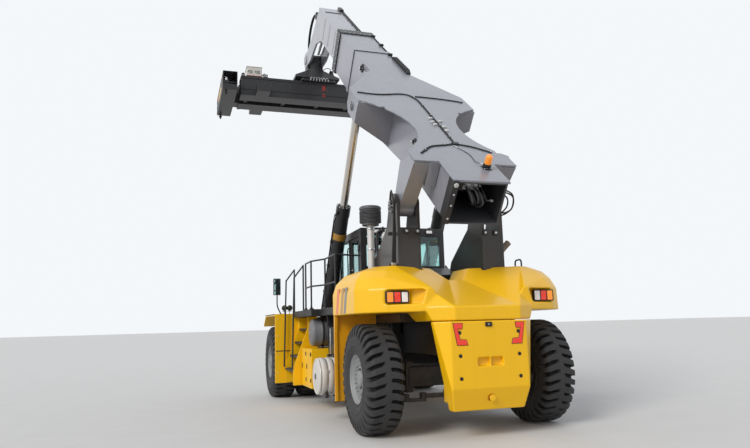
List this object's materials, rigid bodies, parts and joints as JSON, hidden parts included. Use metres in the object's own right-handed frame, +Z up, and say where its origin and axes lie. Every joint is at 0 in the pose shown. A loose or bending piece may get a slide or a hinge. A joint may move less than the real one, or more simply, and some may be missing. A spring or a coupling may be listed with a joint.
{
  "type": "reach stacker",
  "caption": "Container-handling reach stacker: telescopic boom on twin lift cylinders, hollow cab, steered rear axle, twin front wheels and an extending spreader.",
  "frame": {"origin": "on the ground, at the middle of the machine's length and width as it stands", "axes": "+X forward, toward the spreader; +Y to the machine's left; +Z up"},
  "size_m": [12.5222, 6.06, 11.0444],
  "materials": {
    "body_paint": "gloss yellow paint, dusty low down",
    "frame_paint": "satin black paint",
    "boom_paint": "satin mid grey paint",
    "boom_light_paint": "satin light grey paint",
    "tyre_rubber": "lugged rubber, dusty",
    "chrome_rod": "polished",
    "bare_steel": "brushed, dull",
    "window_glass": "clear, green-blue tint",
    "seat_fabric": "woven",
    "dark_plastic": "fine grain",
    "lamp_lens": "clear coloured lens",
    "cast_dark": "painted casting",
    "cabinet_paint": "pale grey paint",
    "exhaust_steel": "heat stained"
  },
  "bodies": {
    "chassis": {"chassis_frame": "frame_paint", "drive_axle": "cast_dark", "steer_axle": "cast_dark", "counterweight": "body_paint", "rear_body": "body_paint", "rear_mudguards": "body_paint", "rear_lamps": "lamp_lens", "boom_towers": "frame_paint", "engine_block": "cast_dark", "engine_hood": "frame_paint", "side_decks": "frame_paint", "access_steps": "body_paint", "front_fenders": "body_paint", "side_tanks": "body_paint", "air_receivers": "bare_steel", "air_cleaner": "dark_plastic", "exhaust_pipe": "exhaust_steel", "cab_shell": "frame_paint", "cab_glass": "window_glass", "cab_seat": "seat_fabric", "cab_console": "dark_plastic", "handrails": "frame_paint", "mirrors_lamps": "dark_plastic"},
    "steer_rod": {"steer_rod": "chrome_rod"},
    "door": {"cab_door": "frame_paint", "door_glass": "window_glass"},
    "knuckle_left": {"knuckle_left": "cast_dark"},
    "knuckle_right": {"knuckle_right": "cast_dark"},
    "wheel_rear_left": {"tyre_rear_left": "tyre_rubber", "rim_rear_left": "cast_dark"},
    "wheel_rear_right": {"tyre_rear_right": "tyre_rubber", "rim_rear_right": "cast_dark"},
    "wheels_front_left": {"tyres_front_left": "tyre_rubber", "rims_front_left": "cast_dark"},
    "wheels_front_right": {"tyres_front_right": "tyre_rubber", "rims_front_right": "cast_dark"},
    "boom": {"boom_base": "boom_paint", "boom_pipes": "dark_plastic", "beacon": "lamp_lens"},
    "boom_inner": {"boom_inner": "boom_light_paint"},
    "lift_barrel_left": {"lift_barrel_left": "frame_paint"},
    "lift_barrel_right": {"lift_barrel_right": "frame_paint"},
    "lift_rod_left": {"lift_rod_left": "chrome_rod"},
    "lift_rod_right": {"lift_rod_right": "chrome_rod"},
    "hanger": {"head_hanger": "frame_paint"},
    "rotator": {"spreader_rotator": "frame_paint"},
    "spreader": {"spreader_frame": "frame_paint", "spreader_cabinet": "cabinet_paint"},
    "arm_left": {"spreader_arm_left": "frame_paint"},
    "arm_right": {"spreader_arm_right": "frame_paint"}
  },
  "joints": [
    {"name": "steer_left", "type": "hinge", "parent": "chassis", "child": "knuckle_left", "pos_m": [-5.04061, 1.05, 0.815], "axis": [0, 0, 1], "range_deg": [-50, 50]},
    {"name": "steer_right", "type": "hinge", "parent": "chassis", "child": "knuckle_right", "pos_m": [-5.04061, -1.05, 0.815], "axis": [0, 0, 1], "range_deg": [-50, 50]},
    {"name": "steer_stroke", "type": "slide", "parent": "chassis", "child": "steer_rod", "axis": [0, 1, 0], "range_m": [-0.177, 0.177]},
    {"name": "rear_left_spin", "type": "hinge", "parent": "knuckle_left", "child": "wheel_rear_left", "pos_m": [-5.04061, 1.4, 0.815], "axis": [0, 1, 0], "continuous": true},
    {"name": "rear_right_spin", "type": "hinge", "parent": "knuckle_right", "child": "wheel_rear_right", "pos_m": [-5.04061, -1.4, 0.815], "axis": [0, 1, 0], "continuous": true},
    {"name": "front_left_spin", "type": "hinge", "parent": "chassis", "child": "wheels_front_left", "pos_m": [0.95939, 1.475, 0.815], "axis": [0, 1, 0], "continuous": true},
    {"name": "front_right_spin", "type": "hinge", "parent": "chassis", "child": "wheels_front_right", "pos_m": [0.95939, -1.475, 0.815], "axis": [0, 1, 0], "continuous": true},
    {"name": "cab_door", "type": "hinge", "parent": "chassis", "child": "door", "pos_m": [-2.7446, 0.886, 2.7], "axis": [0, 0, 1], "range_deg": [0, 75]},
    {"name": "boom_lift", "type": "hinge", "parent": "chassis", "child": "boom", "pos_m": [-4.8906, 0, 3.5], "axis": [0, -1, 0], "range_deg": [-38, 20]},
    {"name": "boom_extend", "type": "slide", "parent": "boom", "child": "boom_inner", "axis": [0.766, 0, 0.6428], "range_m": [-2.25, 2.95]},
    {"name": "lift_barrel_left_tilt", "type": "hinge", "parent": "chassis", "child": "lift_barrel_left", "pos_m": [-0.4606, 1.06, 1.3], "axis": [0, -1, 0], "range_deg": [-3.85, 2.05]},
    {"name": "lift_rod_left_stroke", "type": "slide", "parent": "lift_barrel_left", "child": "lift_rod_left", "axis": [-0.5727, 0, 0.8198], "range_m": [-1.675, 0.883]},
    {"name": "lift_barrel_right_tilt", "type": "hinge", "parent": "chassis", "child": "lift_barrel_right", "pos_m": [-0.4606, -1.06, 1.3], "axis": [0, -1, 0], "range_deg": [-3.85, 2.05]},
    {"name": "lift_rod_right_stroke", "type": "slide", "parent": "lift_barrel_right", "child": "lift_rod_right", "axis": [-0.5727, 0, 0.8198], "range_m": [-1.675, 0.883]},
    {"name": "head_tilt", "type": "hinge", "parent": "boom_inner", "child": "hanger", "pos_m": [5.04113, 0, 10.3325], "axis": [0, -1, 0], "range_deg": [-20, 38]},
    {"name": "spreader_slew", "type": "hinge", "parent": "hanger", "child": "rotator", "pos_m": [5.04113, 0, 10.3325], "axis": [0, 0, 1], "range_deg": [-95, 185]},
    {"name": "side_shift", "type": "slide", "parent": "rotator", "child": "spreader", "axis": [0, -1, 0], "range_m": [-0.8, 0.8]},
    {"name": "arm_left_extend", "type": "slide", "parent": "spreader", "child": "arm_left", "axis": [0, 1, 0], "range_m": [0, 3.066]},
    {"name": "arm_right_extend", "type": "slide", "parent": "spreader", "child": "arm_right", "axis": [0, -1, 0], "range_m": [0, 3.066]}
  ],
  "couplings": [
    {"joint": "steer_right", "follows": "steer_left", "ratio": 1},
    {"joint": "steer_stroke", "follows": "steer_left", "m_per_rad": -0.2017},
    {"joint": "head_tilt", "follows": "boom_lift", "ratio": -1},
    {"joint": "arm_right_extend", "follows": "arm_left_extend", "ratio": 1},
    {"joint": "lift_barrel_left_tilt", "follows": "boom_lift", "ratio": 0.1},
    {"joint": "lift_rod_left_stroke", "follows": "boom_lift", "m_per_rad": 2.521},
    {"joint": "lift_barrel_right_tilt", "follows": "boom_lift", "ratio": 0.1},
    {"joint": "lift_rod_right_stroke", "follows": "boom_lift", "m_per_rad": 2.521}
  ]
}
